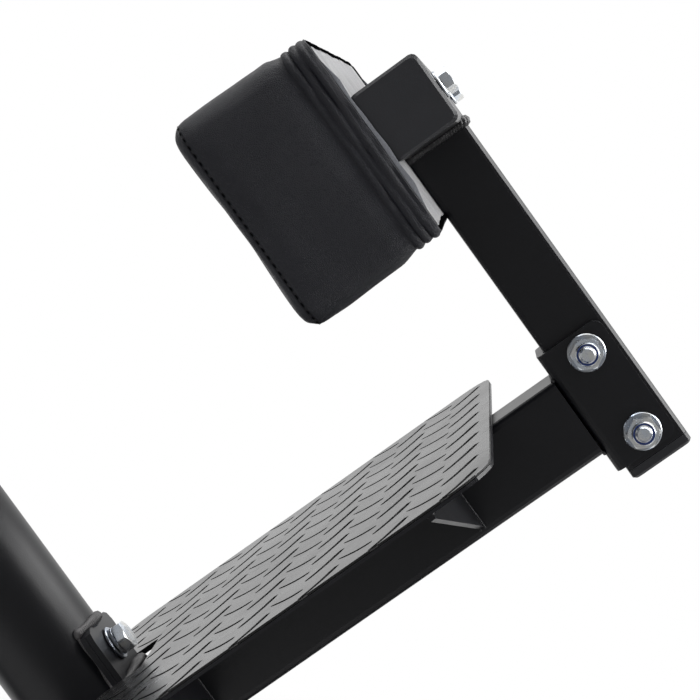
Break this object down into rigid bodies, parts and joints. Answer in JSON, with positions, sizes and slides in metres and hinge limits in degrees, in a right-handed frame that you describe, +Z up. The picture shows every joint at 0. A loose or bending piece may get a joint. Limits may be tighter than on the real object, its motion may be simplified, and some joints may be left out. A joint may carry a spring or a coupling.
{
  "type": "hyperextension bench",
  "caption": "Free-standing 45 degree hyperextension bench: sliding hip pad carriage with side handles, fixed calf pad, tilted footplate with tread, floor base and transport wheels.",
  "frame": {"origin": "middle of the floor footprint, on the floor", "axes": "+X towards the calf pad end, where the user's heels are; +Y to the user's left when facing -X; +Z up"},
  "size_m": [1.1572, 0.608, 0.8736],
  "materials": {
    "powder_coat": "matt black powder coat",
    "zinc": "bright zinc plated steel",
    "chrome": "polished chrome plated steel",
    "spring_steel": "oiled spring wire",
    "vinyl": "matt black grained vinyl over foam",
    "rubber": "matt black rubber",
    "plastic": "satin black moulded plastic",
    "plywood": "raw plywood",
    "felt": "light grey felt dust cover"
  },
  "bodies": {
    "frame": {"base_rail": "powder_coat", "beam_flange_plate": "powder_coat", "bracket_bolt_lower": "zinc", "bracket_bolt_upper": "zinc", "bracket_nut_lower": "zinc", "bracket_nut_upper": "zinc", "bracket_washer_lower": "zinc", "bracket_washer_upper": "zinc", "calf_pad_backing": "felt", "calf_pad_board": "plywood", "calf_pad_bolt_left": "zinc", "calf_pad_bolt_right": "zinc", "calf_pad_cushion": "vinyl", "calf_pad_washer_left": "zinc", "calf_pad_washer_right": "zinc", "cross_tube": "powder_coat", "cross_tube_cap_left": "plastic", "cross_tube_cap_right": "plastic", "flange_bolt_lower": "zinc", "flange_bolt_upper": "zinc", "flange_spring_washer_lower": "zinc", "flange_spring_washer_upper": "zinc", "flange_washer_lower": "zinc", "flange_washer_upper": "zinc", "foot_beam": "powder_coat", "foot_cap_front_left": "rubber", "foot_cap_front_right": "rubber", "foot_cap_rear_left": "rubber", "foot_cap_rear_right": "rubber", "footplate": "powder_coat", "front_cross_tube": "powder_coat", "front_strut": "powder_coat", "gusset_front_left": "powder_coat", "gusset_front_right": "powder_coat", "gusset_rear_left": "powder_coat", "gusset_rear_right": "powder_coat", "mast_collar": "plastic", "mast_flange_plate": "powder_coat", "mast_tube": "powder_coat", "pin_housing": "zinc", "post_end_cap": "plastic", "post_tube": "powder_coat", "rear_cross_tube": "powder_coat", "tread_mat": "rubber", "u_bracket": "powder_coat", "wheel_axle_left": "zinc", "wheel_axle_right": "zinc"},
    "carriage": {"inner_tube": "chrome", "pad_frame": "powder_coat", "hip_board_left": "plywood", "hip_board_right": "plywood", "hip_cushion_left": "vinyl", "hip_cushion_right": "vinyl", "handle_bar": "powder_coat", "grip_left": "rubber", "grip_right": "rubber"},
    "pull_pin": {"pull_pin": "plastic", "pin_spring": "spring_steel"},
    "wheel_left": {"wheel_left": "rubber"},
    "wheel_right": {"wheel_right": "rubber"}
  },
  "joints": [
    {"name": "hip_pad_slide", "type": "slide", "parent": "frame", "child": "carriage", "axis": [-0.5736, 0, 0.8192], "range_m": [-0.09, 0.06]},
    {"name": "pull_pin_slide", "type": "slide", "parent": "frame", "child": "pull_pin", "axis": [0, 1, 0], "range_m": [0, 0.014]},
    {"name": "wheel_left_spin", "type": "hinge", "parent": "frame", "child": "wheel_left", "pos_m": [-0.54865, -0.15, 0.033], "axis": [0, 1, 0], "continuous": true},
    {"name": "wheel_right_spin", "type": "hinge", "parent": "frame", "child": "wheel_right", "pos_m": [-0.54865, 0.15, 0.033], "axis": [0, 1, 0], "continuous": true}
  ]
}
